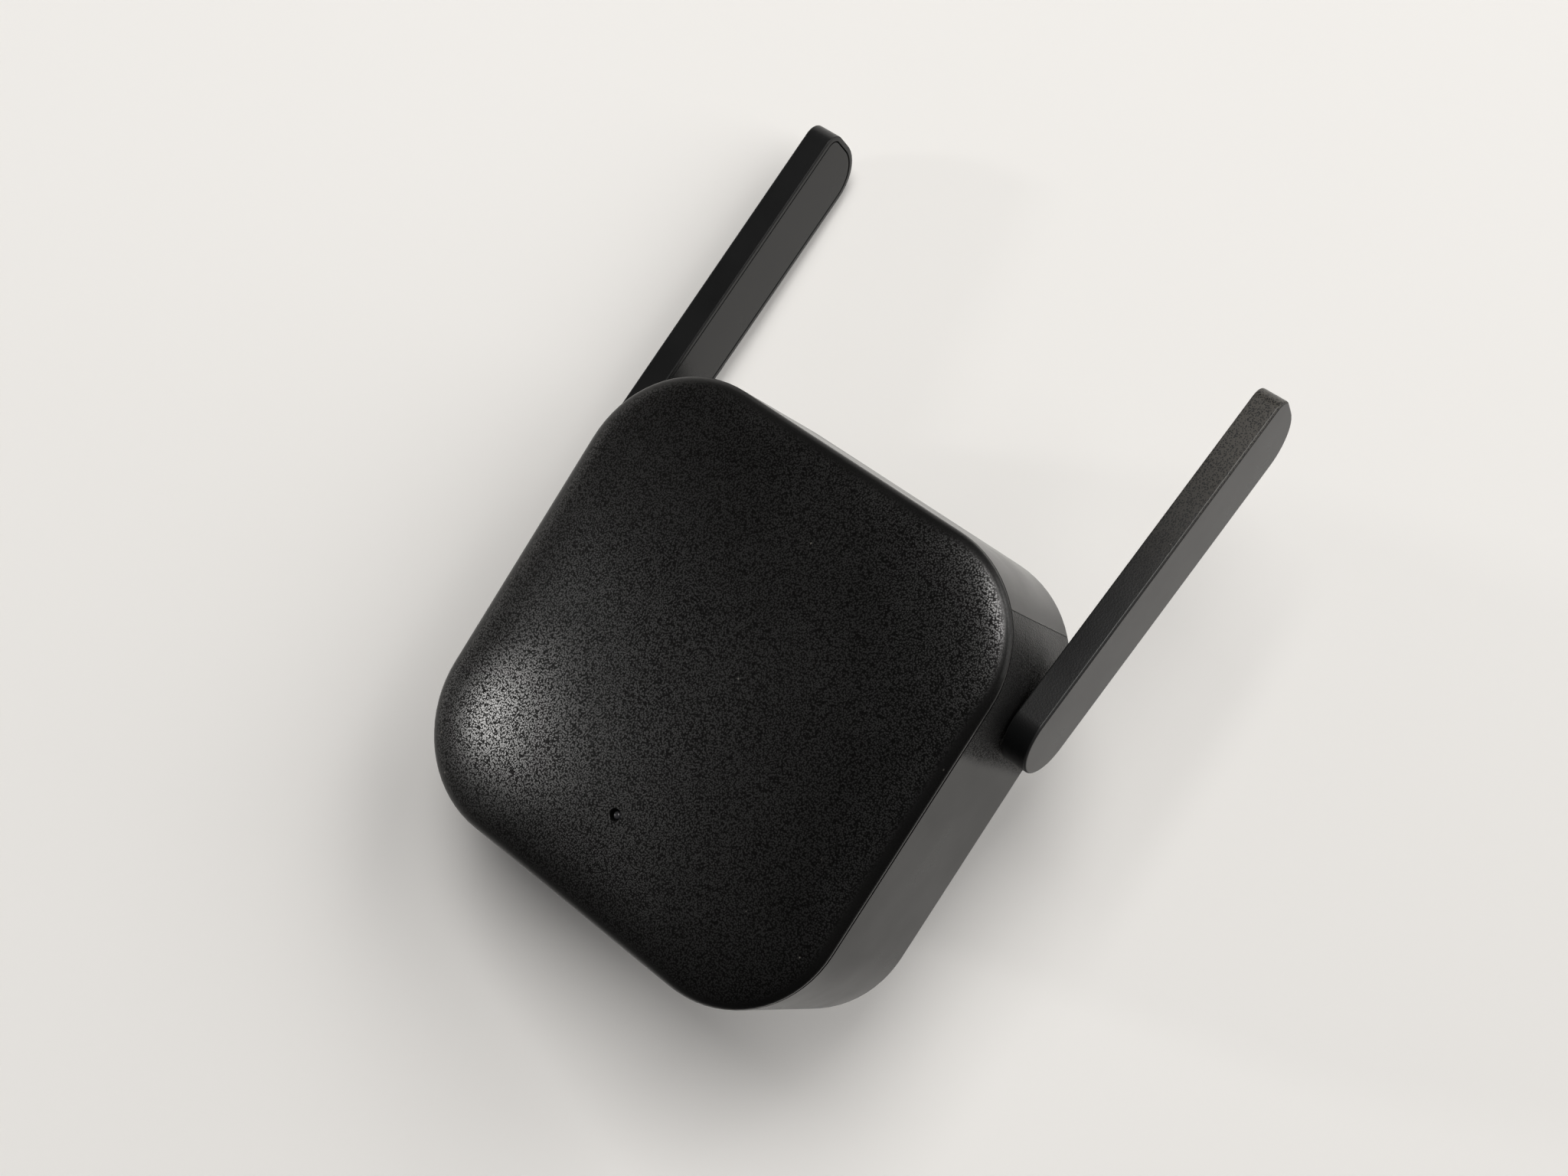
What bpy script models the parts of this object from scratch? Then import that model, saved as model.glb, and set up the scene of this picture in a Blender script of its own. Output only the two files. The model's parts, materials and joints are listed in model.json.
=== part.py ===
"""Plug-in wifi range extender with two swivelling flat antennas.

The part stands as it is used, plugged into a wall socket: +Z is up, the domed cover faces -Y and
the mains plug points along +Y. The origin is the middle of the plug boss, on the face that meets
the socket. The left and right sides (-X and +X) mirror each other, apart from the electronics.
"""
import math

import bmesh
import bpy
from mathutils import Vector

mm = 0.001

# Body: a rounded square box with a pillow-shaped cover
BODY_WIDTH = 75.0 * mm
CORNER_RADIUS = 17.6 * mm
WALL = 2.0 * mm
REAR_DRAFT = 0.3 * mm           # how far each side leans in at the rear edge
REAR_EDGE_RADIUS = 0.8 * mm
BOSS_HEIGHT = 1.5 * mm          # plug boss, standing proud of the rear wall
BOSS_HALF_WIDTH = 16.0 * mm
BOSS_HALF_HEIGHT = 10.0 * mm
BOSS_CORNER_RADIUS = 3.0 * mm
SEAM_DEPTH = 26.4 * mm          # from the rear wall to the seam of the cover
SEAM_GAP = 0.3 * mm
DOME_HEIGHT = 3.8 * mm
DOME_POWER = 2.4                # superellipse exponent of the dome's profile
LIP_DEPTH = 3.0 * mm            # cover lip, nested inside the housing
LIP_WALL = 1.2 * mm
CLEARANCE = 0.3 * mm            # gap kept between pieces that touch in the real object
HOOK_DEPTH = 0.9 * mm           # snap hooks on the lip, and the pockets that take them
HOOK_LENGTH = 8.0 * mm
HOOK_START = 1.2 * mm           # from the cover's rim
HOOK_WIDTH = 1.4 * mm
POCKET_DEPTH = 1.4 * mm
POCKET_MARGIN = 0.3 * mm
VENT_COUNT = 6                  # slots in the lower wall
VENT_START_X = -16.5 * mm
VENT_PITCH = 4.5 * mm
VENT_WIDTH = 1.6 * mm
VENT_SPAN_Y = (-20.0 * mm, -8.0 * mm)

# Antennas: flat bars that swivel on the side walls
HINGE_Y = -13.7 * mm
HINGE_Z = 20.0 * mm
ANTENNA_WIDTH = 12.0 * mm
ANTENNA_THICKNESS = 4.3 * mm
ANTENNA_LENGTH = 63.0 * mm
ANTENNA_GAP = 0.35 * mm         # between the side wall and the antenna's inner face
FRONT_TIP_RADIUS = 2.4 * mm
REAR_TIP_RADIUS = 6.5 * mm
ANTENNA_EDGE = 0.35 * mm        # chamfer along the shell's edges
ANTENNA_SKIN = 1.2 * mm         # outer wall of the hollow shell
ANTENNA_RIM = 0.8 * mm          # rim left around the inset lid
LEDGE_WIDTH = 0.7 * mm          # ledge that carries the lid
LID_THICKNESS = 1.0 * mm
PIVOT_RADIUS = 3.5 * mm
PIVOT_BORE = 2.0 * mm
FLANGE_RADIUS = 4.2 * mm
FLANGE_THICKNESS = 0.7 * mm
BEARING_RADIUS = 7.0 * mm
BEARING_DEPTH = 2.1 * mm        # how far the bearing boss stands in from the side wall
BEARING_ROOT = 0.25 * mm        # how far it is let into the wall, which curves in above it
WASHER_THICKNESS = 0.8 * mm
CLIP_THICKNESS = 0.8 * mm
GROOVE_DEPTH = 0.8 * mm         # of the pivot's groove for the clip
LEAD_RADIUS = 0.65 * mm
LEAN_BACK = {"left": 5.2, "right": 11.7}    # degrees behind upright, as the antennas are left

# Plug: two flat blades
BLADE_PITCH = 12.7 * mm
BLADE_HEIGHT = 6.35 * mm
BLADE_THICKNESS = 1.5 * mm
BLADE_LENGTH = 16.5 * mm
BLADE_TAIL = 7.6 * mm           # length inside the housing
BLADE_CHAMFER = 1.6 * mm        # at the tip's two corners
BLADE_HOLE_RADIUS = 1.6 * mm
BLADE_HOLE_BACK = 5.6 * mm      # from the tip to the hole's middle
SPRING_THICKNESS = 0.4 * mm

# Boards and the posts that carry them
POWER_BOARD_Y = -9.0 * mm       # rear face
POWER_BOARD_THICKNESS = 1.6 * mm
MAIN_BOARD_Y = -24.0 * mm       # rear face
MAIN_BOARD_THICKNESS = 1.2 * mm
POST_OFFSET = 27.0 * mm
POST_RADIUS = 3.0 * mm
STANDOFF_X = 19.0 * mm
STANDOFF_Z = 25.0 * mm
STANDOFF_RADIUS = 2.5 * mm
SCREW_RADIUS = 1.0 * mm

# Indicator and reset
LED_Z = -22.4 * mm
LED_HOLE_RADIUS = 0.9 * mm
RESET_X = 14.0 * mm
RESET_Y = -22.2 * mm

HALF = BODY_WIDTH / 2
REAR_Y = -BOSS_HEIGHT
SEAM_Y = REAR_Y - SEAM_DEPTH
INNER_REAR_Y = REAR_Y - WALL
COVER_RIM_Y = SEAM_Y - SEAM_GAP / 2
HOUSING_RIM_Y = SEAM_Y + SEAM_GAP / 2
ANTENNA_X = HALF + ANTENNA_GAP
BEARING_X = HALF - WALL - BEARING_DEPTH     # inner face of the bearing boss
POWER_FRONT_Y = POWER_BOARD_Y - POWER_BOARD_THICKNESS - CLEARANCE
MAIN_FRONT_Y = MAIN_BOARD_Y - MAIN_BOARD_THICKNESS - CLEARANCE
MAIN_BACK_Y = MAIN_BOARD_Y + CLEARANCE
CORNERS = ((-1, -1), (1, -1), (1, 1), (-1, 1))

PALETTE = {                     # colour, roughness, metallic
    "cover_plastic": ((0.012, 0.012, 0.012), 0.42, 0.0),
    "housing_plastic": ((0.022, 0.022, 0.024), 0.38, 0.0),
    "antenna_plastic": ((0.016, 0.017, 0.018), 0.40, 0.0),
    "inner_plastic": ((0.60, 0.60, 0.58), 0.55, 0.0),
    "clear_plastic": ((0.85, 0.88, 0.90), 0.10, 0.0),
    "led_body": ((0.90, 0.90, 0.85), 0.35, 0.0),
    "board_green": ((0.02, 0.16, 0.07), 0.45, 0.0),
    "chip_black": ((0.02, 0.02, 0.02), 0.50, 0.0),
    "ferrite": ((0.06, 0.06, 0.07), 0.60, 0.0),
    "winding_tape": ((0.75, 0.55, 0.08), 0.45, 0.0),
    "capacitor_sleeve": ((0.03, 0.05, 0.14), 0.35, 0.0),
    "capacitor_blue": ((0.05, 0.18, 0.45), 0.35, 0.0),
    "plug_metal": ((0.72, 0.68, 0.60), 0.25, 1.0),
    "spring_metal": ((0.72, 0.45, 0.25), 0.30, 1.0),
    "shield_metal": ((0.70, 0.71, 0.72), 0.35, 1.0),
    "screw_steel": ((0.55, 0.55, 0.56), 0.35, 1.0),
    "lead_jacket": ((0.03, 0.03, 0.03), 0.50, 0.0),
    "washer_nylon": ((0.80, 0.79, 0.74), 0.50, 0.0),
}


def clear_scene():
    for obj in list(bpy.data.objects):
        bpy.data.objects.remove(obj, do_unlink=True)


def material(name):
    """The named finish, made once and shared."""
    found = bpy.data.materials.get(name)
    if found:
        return found
    colour, roughness, metallic = PALETTE[name]
    made = bpy.data.materials.new(name)
    made.use_nodes = True
    shader = made.node_tree.nodes["Principled BSDF"]
    shader.inputs["Base Color"].default_value = (*colour, 1.0)
    shader.inputs["Roughness"].default_value = roughness
    shader.inputs["Metallic"].default_value = metallic
    made.diffuse_color = (*colour, 1.0)
    return made


def add_mesh(name, bm, finish, parent=None):
    """Turn a bmesh into an object, with its faces pointing out and its round faces smooth."""
    bmesh.ops.recalc_face_normals(bm, faces=bm.faces)
    mesh = bpy.data.meshes.new(name)
    bm.to_mesh(mesh)
    bm.free()
    mesh.materials.append(material(finish))
    mesh.shade_smooth()
    mesh.set_sharp_from_angle(angle=math.radians(35))
    obj = bpy.data.objects.new(name, mesh)
    bpy.context.scene.collection.objects.link(obj)
    obj.parent = parent
    return obj


def add_tool(name, bm):
    """A shape that only cuts or adds to another: the finished part leaves it out."""
    tool = add_mesh("tool_" + name, bm, "chip_black")
    tool.hide_render = True
    tool.display_type = "WIRE"
    return tool


def combine(target, tool, operation):
    step = target.modifiers.new(tool.name, "BOOLEAN")
    step.operation = operation
    step.solver = "EXACT"
    step.object = tool


def cut(target, tool):
    combine(target, tool, "DIFFERENCE")


def add(target, tool):
    combine(target, tool, "UNION")


def loft(rings, closed=False):
    """Skin equal rings of points. A closed loft joins its last ring to its first."""
    bm = bmesh.new()
    loops = [[bm.verts.new(point) for point in ring] for ring in rings]
    pairs = list(zip(loops, loops[1:]))
    if closed:
        pairs.append((loops[-1], loops[0]))
    count = len(rings[0])
    for near, far in pairs:
        for i in range(count):
            j = (i + 1) % count
            bm.faces.new((near[i], near[j], far[j], far[i]))
    if not closed:
        bm.faces.new(loops[0])
        bm.faces.new(loops[-1])
    return bm


def on_axis(axis, along, first, second):
    """A point from its place along an axis and its other two coordinates, in X, Y, Z order."""
    if axis == "X":
        return Vector((along, first, second))
    if axis == "Y":
        return Vector((first, along, second))
    return Vector((first, second, along))


def prism(outline, axis, low, high):
    """A flat outline pushed straight along an axis."""
    return loft([[on_axis(axis, along, a, b) for a, b in outline] for along in (low, high)])


def rectangle(low_a, high_a, low_b, high_b):
    return [(low_a, low_b), (high_a, low_b), (high_a, high_b), (low_a, high_b)]


def box(x, y, z):
    """A block between low and high values on each axis."""
    return prism(rectangle(*x, *z), "Y", *y)


def arc(centre_a, centre_b, radius, start, end, steps):
    """Points on a circular arc, from one angle to the other in degrees."""
    points = []
    for i in range(steps + 1):
        angle = math.radians(start + (end - start) * i / steps)
        points.append((centre_a + radius * math.cos(angle), centre_b + radius * math.sin(angle)))
    return points


def rounded_rectangle(half_a, half_b, radius, steps=6):
    """A rectangle about zero with round corners."""
    points = []
    for start, (side_a, side_b) in zip((180, 270, 0, 90), CORNERS):
        centre_a = side_a * (half_a - radius)
        centre_b = side_b * (half_b - radius)
        points += arc(centre_a, centre_b, radius, start, start + 90, steps)
    return points


def turned(profile, axis, centre, segments=20, hollow=False):
    """Turn a profile of (place along the axis, radius) pairs about an axis through centre."""
    rings = []
    for along, radius in profile:
        circle = arc(centre[0], centre[1], radius, 0, 360, segments)[:-1]
        rings.append([on_axis(axis, along, a, b) for a, b in circle])
    return loft(rings, closed=hollow)


def cylinder(axis, centre, radius, low, high, segments=20):
    return turned([(low, radius), (high, radius)], axis, centre, segments)


def body_ring(inset, y, scale=1.0, steps=8):
    """The body's outline at a depth. Towards the middle of the dome it grows rounder."""
    half = (HALF - inset) * scale
    radius = CORNER_RADIUS - inset
    blend = 1 - scale ** 2
    radius = scale * (radius + (HALF - inset - radius) * blend)
    outline = rounded_rectangle(half, half, min(radius, half * 0.999), steps)
    return [on_axis("Y", y, x, z) for x, z in outline]


def dome_profile(steps):
    """Pairs of scale and height share, from the rim to near the middle of the dome."""
    pairs = []
    for i in range(steps):
        angle = math.radians(86) * i / (steps - 1)
        pairs.append((math.cos(angle) ** (2 / DOME_POWER), math.sin(angle) ** (2 / DOME_POWER)))
    return pairs


def dome_y(distance):
    """Where the dome's outer face lies, at a distance from the middle along a straight side."""
    return COVER_RIM_Y - DOME_HEIGHT * (1 - (distance / HALF) ** DOME_POWER) ** (1 / DOME_POWER)


def hook_boxes(deep, long, y):
    """One block at the middle of each side, straddling the joint between lip and housing."""
    low = HALF - WALL - CLEARANCE - 0.4 * mm
    high = low + 0.4 * mm + deep
    spans = [(-long / 2, long / 2), (-high, -low), (low, high)]
    places = (("left", 1, 0), ("right", 2, 0), ("bottom", 0, 1), ("top", 0, 2))
    return [(side, box(spans[ix], y, spans[iz])) for side, ix, iz in places]


def make_front_cover():
    """The domed cover: one shell with a lip that nests in the housing and four snap hooks."""
    lip_outer = WALL + CLEARANCE
    lip_inner = lip_outer + LIP_WALL
    inner_height = DOME_HEIGHT - WALL
    rings = [body_ring(0, COVER_RIM_Y - DOME_HEIGHT * rise, scale)
             for scale, rise in reversed(dome_profile(9))]
    rings.append(body_ring(lip_outer, COVER_RIM_Y))
    rings.append(body_ring(lip_outer, COVER_RIM_Y + LIP_DEPTH))
    rings.append(body_ring(lip_inner, COVER_RIM_Y + LIP_DEPTH))
    rings += [body_ring(lip_inner, COVER_RIM_Y - inner_height * rise, scale)
              for scale, rise in dome_profile(6)]
    cover = add_mesh("front_cover", loft(rings), "cover_plastic")
    span = (COVER_RIM_Y + HOOK_START, COVER_RIM_Y + HOOK_START + HOOK_WIDTH)
    for side, bm in hook_boxes(HOOK_DEPTH, HOOK_LENGTH, span):
        add(cover, add_tool("cover_hook_" + side, bm))
    hole = cylinder("Y", (0, LED_Z), LED_HOLE_RADIUS, dome_y(0) - mm, SEAM_Y)
    cut(cover, add_tool("led_hole", hole))


def make_rear_housing():
    """The deep square cup with the plug boss, the board posts and the antenna bearings."""
    edge = REAR_EDGE_RADIUS
    rings = []
    for angle in (90, 60, 30, 0):
        inset = REAR_DRAFT + edge * (1 - math.cos(math.radians(angle)))
        rings.append(body_ring(inset, REAR_Y - edge * (1 - math.sin(math.radians(angle)))))
    rings.append(body_ring(0, HOUSING_RIM_Y))
    rings.append(body_ring(WALL, HOUSING_RIM_Y))
    rings.append(body_ring(WALL + REAR_DRAFT, INNER_REAR_Y))
    housing = add_mesh("rear_housing", loft(rings), "housing_plastic")

    boss = prism(rounded_rectangle(BOSS_HALF_WIDTH, BOSS_HALF_HEIGHT, BOSS_CORNER_RADIUS, 4),
                 "Y", REAR_Y - WALL / 2, 0)
    add(housing, add_tool("plug_boss", boss))
    for index, (side_x, side_z) in enumerate(CORNERS, start=1):
        post = cylinder("Y", (side_x * POST_OFFSET, side_z * POST_OFFSET), POST_RADIUS,
                        MAIN_BACK_Y, INNER_REAR_Y + WALL / 2, 14)
        add(housing, add_tool(f"post_{index}", post))
        standoff = cylinder("Y", (side_x * STANDOFF_X, side_z * STANDOFF_Z), STANDOFF_RADIUS,
                            POWER_BOARD_Y + CLEARANCE, INNER_REAR_Y + WALL / 2, 14)
        add(housing, add_tool(f"standoff_{index}", standoff))
        for kind, x, z, depth in (("post", POST_OFFSET, POST_OFFSET, MAIN_BOARD_Y),
                                  ("standoff", STANDOFF_X, STANDOFF_Z, POWER_BOARD_Y)):
            pilot = cylinder("Y", (side_x * x, side_z * z), SCREW_RADIUS + CLEARANCE,
                             depth - mm, INNER_REAR_Y - 0.5 * mm, 12)
            cut(housing, add_tool(f"{kind}_pilot_{index}", pilot))

    for side, sign in (("left", -1), ("right", 1)):
        bearing = cylinder("X", (HINGE_Y, HINGE_Z), BEARING_RADIUS,
                           sign * BEARING_X, sign * (HALF - WALL + BEARING_ROOT), 24)
        add(housing, add_tool(f"bearing_{side}", bearing))
        bore = cylinder("X", (HINGE_Y, HINGE_Z), PIVOT_RADIUS + CLEARANCE,
                        sign * (BEARING_X - mm), sign * (HALF + mm), 24)
        cut(housing, add_tool(f"bearing_bore_{side}", bore))
        blade = sign * BLADE_PITCH / 2
        slot = box((blade - BLADE_THICKNESS / 2 - CLEARANCE, blade + BLADE_THICKNESS / 2 + CLEARANCE),
                   (INNER_REAR_Y - mm, mm),
                   (-BLADE_HEIGHT / 2 - CLEARANCE, BLADE_HEIGHT / 2 + CLEARANCE))
        cut(housing, add_tool(f"blade_slot_{side}", slot))

    span = (COVER_RIM_Y + HOOK_START - POCKET_MARGIN,
            COVER_RIM_Y + HOOK_START + HOOK_WIDTH + POCKET_MARGIN)
    for side, bm in hook_boxes(POCKET_DEPTH, HOOK_LENGTH + mm, span):
        cut(housing, add_tool("hook_pocket_" + side, bm))
    below = (-HALF - mm, -HALF + WALL + mm)
    for index in range(VENT_COUNT):
        x = VENT_START_X + VENT_PITCH * index
        vent = box((x, x + VENT_WIDTH), VENT_SPAN_Y, below)
        cut(housing, add_tool(f"vent_{index + 1}", vent))
    pinhole = cylinder("Z", (RESET_X, RESET_Y), mm, *below, 12)
    cut(housing, add_tool("reset_pinhole", pinhole))


def antenna_outline(inset):
    """The antenna's side view about its hinge: round at the foot, with two corners at the tip."""
    half = ANTENNA_WIDTH / 2 - inset
    top = ANTENNA_LENGTH - ANTENNA_WIDTH / 2 - inset
    front = max(FRONT_TIP_RADIUS - inset, 0.4 * mm)
    rear = max(REAR_TIP_RADIUS - inset, 0.4 * mm)
    points = arc(0, 0, half, 180, 360, 14)
    points += arc(half - rear, top - rear, rear, 0, 90, 8)
    points += arc(front - half, top - front, front, 90, 180, 4)
    return points


def antenna_ring(sign, inset, out):
    """The antenna's outline, inset from its edge, at a distance out from its inner face."""
    return [on_axis("X", sign * out, y, z) for y, z in antenna_outline(inset)]


def make_antenna(side, sign):
    """One antenna: shell, lid, radiator and hollow pivot turn on the hinge of this side."""
    hinge = bpy.data.objects.new(f"hinge_{side}", None)
    bpy.context.scene.collection.objects.link(hinge)
    hinge.location = (sign * ANTENNA_X, HINGE_Y, HINGE_Z)
    hinge.rotation_euler = (math.radians(-LEAN_BACK[side]), 0, 0)

    thick = ANTENNA_THICKNESS
    edge = ANTENNA_EDGE
    ledge = ANTENNA_RIM + LEDGE_WIDTH
    ledge_out = LID_THICKNESS + CLEARANCE
    floor_out = thick - ANTENNA_SKIN
    steps = ((edge, thick), (0, thick - edge), (0, edge), (edge, 0), (ANTENNA_RIM, 0),
             (ANTENNA_RIM, ledge_out), (ledge, ledge_out), (ledge, floor_out))
    shell = loft([antenna_ring(sign, inset, out) for inset, out in steps])
    add_mesh(f"antenna_{side}_shell", shell, "antenna_plastic", hinge)

    lid_inset = ANTENNA_RIM + CLEARANCE
    lid = add_mesh(f"antenna_{side}_lid",
                   loft([antenna_ring(sign, lid_inset, out) for out in (0, LID_THICKNESS)]),
                   "antenna_plastic", hinge)
    bore = add_tool(f"lid_bore_{side}",
                    cylinder("X", (0, 0), PIVOT_RADIUS + CLEARANCE, -mm, 2 * LID_THICKNESS, 24))
    bore.parent = hinge
    cut(lid, bore)

    board_low = floor_out - 0.8 * mm
    radiator = prism(rectangle(-3.6 * mm, 3.6 * mm, -2.5 * mm, 53 * mm), "X",
                     sign * board_low, sign * (board_low + 0.5 * mm))
    add_mesh(f"antenna_{side}_radiator", radiator, "board_green", hinge)

    washer_x = BEARING_X - CLEARANCE
    clip_x = washer_x - WASHER_THICKNESS - CLEARANCE
    flange_out = LID_THICKNESS + CLEARANCE
    groove = (clip_x + CLEARANCE - ANTENNA_X, clip_x - CLIP_THICKNESS - CLEARANCE - ANTENNA_X)
    neck = PIVOT_RADIUS - GROOVE_DEPTH
    tail = groove[1] - 1.2 * mm
    flange_top = flange_out + FLANGE_THICKNESS
    profile = [(flange_top, PIVOT_BORE), (flange_top, FLANGE_RADIUS),
               (flange_out, FLANGE_RADIUS), (flange_out, PIVOT_RADIUS), (groove[0], PIVOT_RADIUS),
               (groove[0], neck), (groove[1], neck), (groove[1], PIVOT_RADIUS),
               (tail + 0.4 * mm, PIVOT_RADIUS), (tail, PIVOT_RADIUS - 0.4 * mm), (tail, PIVOT_BORE)]
    pivot = turned([(sign * x, r) for x, r in profile], "X", (0, 0), 24, hollow=True)
    add_mesh(f"antenna_{side}_pivot", pivot, "antenna_plastic", hinge)

    centre = (HINGE_Y, HINGE_Z)
    ring = [(washer_x, 3.8 * mm), (washer_x, 6 * mm),
            (washer_x - WASHER_THICKNESS, 6 * mm), (washer_x - WASHER_THICKNESS, 3.8 * mm)]
    washer = turned([(sign * x, r) for x, r in ring], "X", centre, 24, hollow=True)
    add_mesh(f"antenna_{side}_washer", washer, "washer_nylon")

    clip = arc(0, 0, 5.2 * mm, -55, 235, 20) + arc(0, 0, 3.0 * mm, 235, -55, 20)
    inner = sign * (clip_x - ANTENNA_X)
    outer = sign * (clip_x - CLIP_THICKNESS - ANTENNA_X)
    add_mesh(f"antenna_{side}_clip", prism(clip, "X", outer, inner), "screw_steel", hinge)


def bezier(start, leave, arrive, end, steps):
    """Points on a cubic curve."""
    points = []
    for i in range(steps + 1):
        t = i / steps
        u = 1 - t
        points.append(start * u ** 3 + leave * 3 * u * u * t + arrive * 3 * u * t * t + end * t ** 3)
    return points


def make_antenna_lead(side, sign):
    """The thin coaxial lead from its socket on the main board through the hollow pivot."""
    socket_x = sign * 20 * mm
    socket_z = 24 * mm
    socket = cylinder("Y", (socket_x, socket_z), 1.5 * mm, MAIN_BACK_Y, MAIN_BACK_Y + 1.2 * mm, 16)
    add_mesh(f"antenna_{side}_socket", socket, "plug_metal")

    start = Vector((socket_x, MAIN_BACK_Y + 1.2 * mm + CLEARANCE, socket_z))
    straight = Vector((sign * 29 * mm, HINGE_Y, HINGE_Z))
    end = Vector((sign * (ANTENNA_X + LID_THICKNESS + mm), HINGE_Y, HINGE_Z))
    route = bezier(start, start + Vector((0, 5 * mm, 0)), straight - Vector((sign * 5 * mm, 0, 0)),
                   straight, 14)
    route += [straight.lerp(end, share) for share in (0.33, 0.67, 1.0)]
    curve = bpy.data.curves.new(f"antenna_{side}_lead", "CURVE")
    curve.dimensions = "3D"
    curve.bevel_depth = LEAD_RADIUS
    curve.bevel_resolution = 2
    curve.use_fill_caps = True
    spline = curve.splines.new("POLY")
    spline.points.add(len(route) - 1)
    for point, place in zip(spline.points, route):
        point.co = (*place, 1.0)
    curve.materials.append(material("lead_jacket"))
    lead = bpy.data.objects.new(f"antenna_{side}_lead", curve)
    bpy.context.scene.collection.objects.link(lead)


def make_plug():
    """Two flat blades through the boss, the block that holds them and their contact springs."""
    carrier = add_mesh("blade_carrier",
                       box((-12 * mm, 12 * mm), (-6.2 * mm, INNER_REAR_Y - CLEARANCE),
                           (-6 * mm, 6 * mm)), "inner_plastic")
    half_height = BLADE_HEIGHT / 2
    for side, sign in (("left", -1), ("right", 1)):
        middle = sign * BLADE_PITCH / 2
        low, high = middle - BLADE_THICKNESS / 2, middle + BLADE_THICKNESS / 2
        tip = BLADE_CHAMFER
        outline = [(-BLADE_TAIL, -half_height), (BLADE_LENGTH - tip, -half_height),
                   (BLADE_LENGTH, tip - half_height), (BLADE_LENGTH, half_height - tip),
                   (BLADE_LENGTH - tip, half_height), (-BLADE_TAIL, half_height)]
        blade = add_mesh(f"plug_blade_{side}", prism(outline, "X", low, high), "plug_metal")
        hole = cylinder("X", (BLADE_LENGTH - BLADE_HOLE_BACK, 0), BLADE_HOLE_RADIUS,
                        low - mm, high + mm, 16)
        cut(blade, add_tool(f"blade_hole_{side}", hole))
        slot = box((low - CLEARANCE, high + CLEARANCE), (-8 * mm, 0),
                   (-half_height - CLEARANCE, half_height + CLEARANCE))
        cut(carrier, add_tool(f"carrier_slot_{side}", slot))

        leaf = middle + sign * (BLADE_THICKNESS / 2 + CLEARANCE)
        foot_y = POWER_BOARD_Y + CLEARANCE
        thin = SPRING_THICKNESS
        spring = [(leaf, -6.6 * mm), (leaf, foot_y), (leaf + sign * 4 * mm, foot_y),
                  (leaf + sign * 4 * mm, foot_y + thin), (leaf + sign * thin, foot_y + thin),
                  (leaf + sign * thin, -6.6 * mm)]
        add_mesh(f"contact_spring_{side}", prism(spring, "Z", -2.5 * mm, 2.5 * mm), "spring_metal")


def make_screw(name, x, z, head_y, length):
    """A pan-head screw whose shank points back along +Y."""
    profile = [(head_y - 1.6 * mm, 1.2 * mm), (head_y - 1.2 * mm, 2.0 * mm), (head_y, 2.1 * mm),
               (head_y, SCREW_RADIUS), (head_y + length - mm, SCREW_RADIUS),
               (head_y + length, 0.4 * mm)]
    add_mesh(name, turned(profile, "Y", (x, z), 14), "screw_steel")


def make_boards():
    """The power board behind, the main board in front and the header that joins them."""
    power = prism(rectangle(-23 * mm, 23 * mm, -29 * mm, 29 * mm), "Y",
                  POWER_BOARD_Y - POWER_BOARD_THICKNESS, POWER_BOARD_Y)
    power = add_mesh("power_board", power, "board_green")
    main = prism(rounded_rectangle(31 * mm, 31 * mm, 8 * mm, 4), "Y",
                 MAIN_BOARD_Y - MAIN_BOARD_THICKNESS, MAIN_BOARD_Y)
    main = add_mesh("main_board", main, "board_green")
    for index, (side_x, side_z) in enumerate(CORNERS, start=1):
        for board, kind, x, z, y in ((main, "main", POST_OFFSET, POST_OFFSET, MAIN_BOARD_Y),
                                     (power, "power", STANDOFF_X, STANDOFF_Z, POWER_BOARD_Y)):
            hole = cylinder("Y", (side_x * x, side_z * z), SCREW_RADIUS + CLEARANCE,
                            y - 3 * mm, y + mm, 12)
            cut(board, add_tool(f"{kind}_board_hole_{index}", hole))
        make_screw(f"main_board_screw_{index}", side_x * POST_OFFSET, side_z * POST_OFFSET,
                   MAIN_FRONT_Y, 8 * mm)
    for index, side in enumerate((-1, 1), start=1):
        make_screw(f"power_board_screw_{index}", side * STANDOFF_X, side * STANDOFF_Z,
                   POWER_FRONT_Y, 5 * mm)
    header = box((-16 * mm, -6 * mm), (MAIN_BACK_Y, POWER_FRONT_Y), (-25.2 * mm, -22.8 * mm))
    add_mesh("board_link_header", header, "chip_black")


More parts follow.
